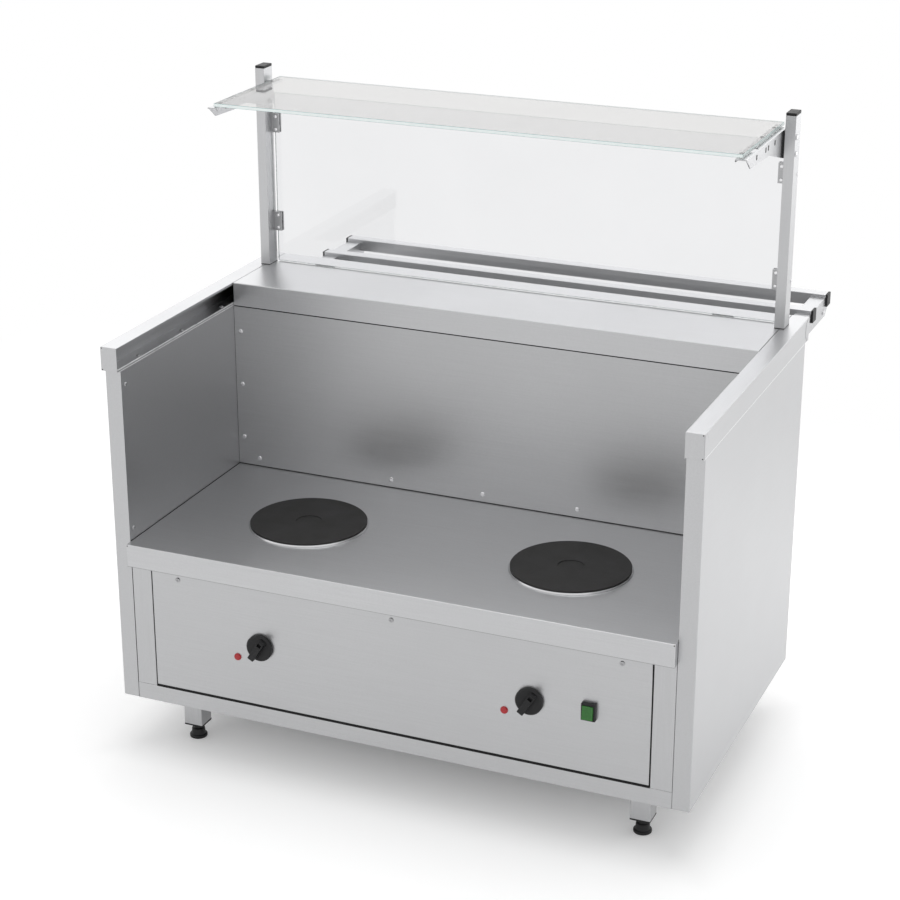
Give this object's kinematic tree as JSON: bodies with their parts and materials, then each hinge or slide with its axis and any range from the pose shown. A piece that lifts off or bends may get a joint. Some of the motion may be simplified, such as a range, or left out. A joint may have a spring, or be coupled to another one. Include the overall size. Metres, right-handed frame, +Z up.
{
  "type": "hotplate serving counter",
  "caption": "Stainless steel serving counter with round hotplates in an open bay, a knob panel below, a glass shelf and screen on posts, and a tray rail behind.",
  "frame": {"origin": "on the floor, at the middle of the footprint in both directions", "axes": "+X to the operator's right, +Y from the operator's side towards the customer's side, +Z up"},
  "size_m": [1.1212, 0.9826, 1.207],
  "materials": {
    "stainless_sheet": "satin stainless sheet with a fine short grain",
    "stainless_liner": "satin stainless liner sheet, a little darker",
    "stainless_inner": "plain hidden stainless",
    "stainless_tube": "satin stainless tube and folded sheet, grain along its length",
    "clamp_steel": "satin stainless clamp",
    "fastener_steel": "bright stainless fasteners",
    "spill_ring": "polished stainless ring",
    "hotplate_iron": "matt black cast iron, fine turned surface",
    "clear_glass": "clear toughened glass with pale green edges",
    "black_plastic": "black moulded plastic with a fine grain",
    "knob_plastic": "black moulded phenolic, satin",
    "clear_rubber": "translucent grey rubber",
    "red_lens": "red translucent lens",
    "green_rocker": "green translucent rocker",
    "white_ceramic": "white moulded insulation",
    "conduit_grey": "grey conduit"
  },
  "bodies": {
    "counter": {"side_panel_left": "stainless_sheet", "side_panel_right": "stainless_sheet", "cap_arm_left": "stainless_sheet", "cap_arm_right": "stainless_sheet", "rear_deck": "stainless_sheet", "hob_deck": "stainless_sheet", "front_stiles": "stainless_sheet", "bottom_rail": "stainless_sheet", "control_panel": "stainless_sheet", "rear_panel": "stainless_sheet", "side_liner_left": "stainless_liner", "side_liner_right": "stainless_liner", "back_liner": "stainless_liner", "deck_rails": "stainless_inner", "support_angles": "stainless_inner", "top_rail": "stainless_inner", "base_tray": "stainless_inner", "stiffeners": "stainless_inner", "backing_plates": "stainless_inner", "hotplate_pans": "stainless_inner", "hotplate_bars": "stainless_inner", "legs": "stainless_tube", "post_left": "stainless_tube", "post_right": "stainless_tube", "shelf_arm_left": "stainless_tube", "shelf_arm_right": "stainless_tube", "tray_console_left": "stainless_tube", "tray_console_right": "stainless_tube", "tray_tubes": "stainless_tube", "glass_clamps": "clamp_steel", "clamp_screws": "fastener_steel", "sheet_screws": "fastener_steel", "rivets": "fastener_steel", "hex_bolts": "fastener_steel", "pan_bolts": "fastener_steel", "hotplate_rings": "spill_ring", "hotplate_left": "hotplate_iron", "hotplate_right": "hotplate_iron", "shelf_glass": "clear_glass", "screen_glass": "clear_glass", "leg_inserts": "black_plastic", "post_caps": "black_plastic", "post_spacers": "black_plastic", "tray_tube_caps": "black_plastic", "cable_gland": "black_plastic", "switch_housing": "knob_plastic", "glass_pads": "clear_rubber", "pilot_lights": "red_lens", "heat_switches": "white_ceramic", "terminal_block": "white_ceramic", "wiring": "conduit_grey"},
    "knob_left": {"knob_left": "knob_plastic", "shaft_left": "fastener_steel"},
    "knob_right": {"knob_right": "knob_plastic", "shaft_right": "fastener_steel"},
    "rocker": {"switch_rocker": "green_rocker"},
    "foot_front_left": {"foot_front_left": "black_plastic"},
    "foot_front_right": {"foot_front_right": "black_plastic"},
    "foot_rear_left": {"foot_rear_left": "black_plastic"},
    "foot_rear_right": {"foot_rear_right": "black_plastic"}
  },
  "joints": [
    {"name": "knob_left_turn", "type": "hinge", "parent": "counter", "child": "knob_left", "pos_m": [-0.2638, -0.47975, 0.2643], "axis": [0, 1, 0], "range_deg": [0, 270]},
    {"name": "knob_right_turn", "type": "hinge", "parent": "counter", "child": "knob_right", "pos_m": [0.2638, -0.47975, 0.2643], "axis": [0, 1, 0], "range_deg": [0, 270]},
    {"name": "rocker_tilt", "type": "hinge", "parent": "counter", "child": "rocker", "pos_m": [0.374, -0.47675, 0.267], "axis": [1, 0, 0], "range_deg": [0, 12]},
    {"name": "foot_front_left_height", "type": "slide", "parent": "counter", "child": "foot_front_left", "axis": [0, 0, -1], "range_m": [0, 0.02]},
    {"name": "foot_front_right_height", "type": "slide", "parent": "counter", "child": "foot_front_right", "axis": [0, 0, -1], "range_m": [0, 0.02]},
    {"name": "foot_rear_left_height", "type": "slide", "parent": "counter", "child": "foot_rear_left", "axis": [0, 0, -1], "range_m": [0, 0.02]},
    {"name": "foot_rear_right_height", "type": "slide", "parent": "counter", "child": "foot_rear_right", "axis": [0, 0, -1], "range_m": [0, 0.02]}
  ]
}
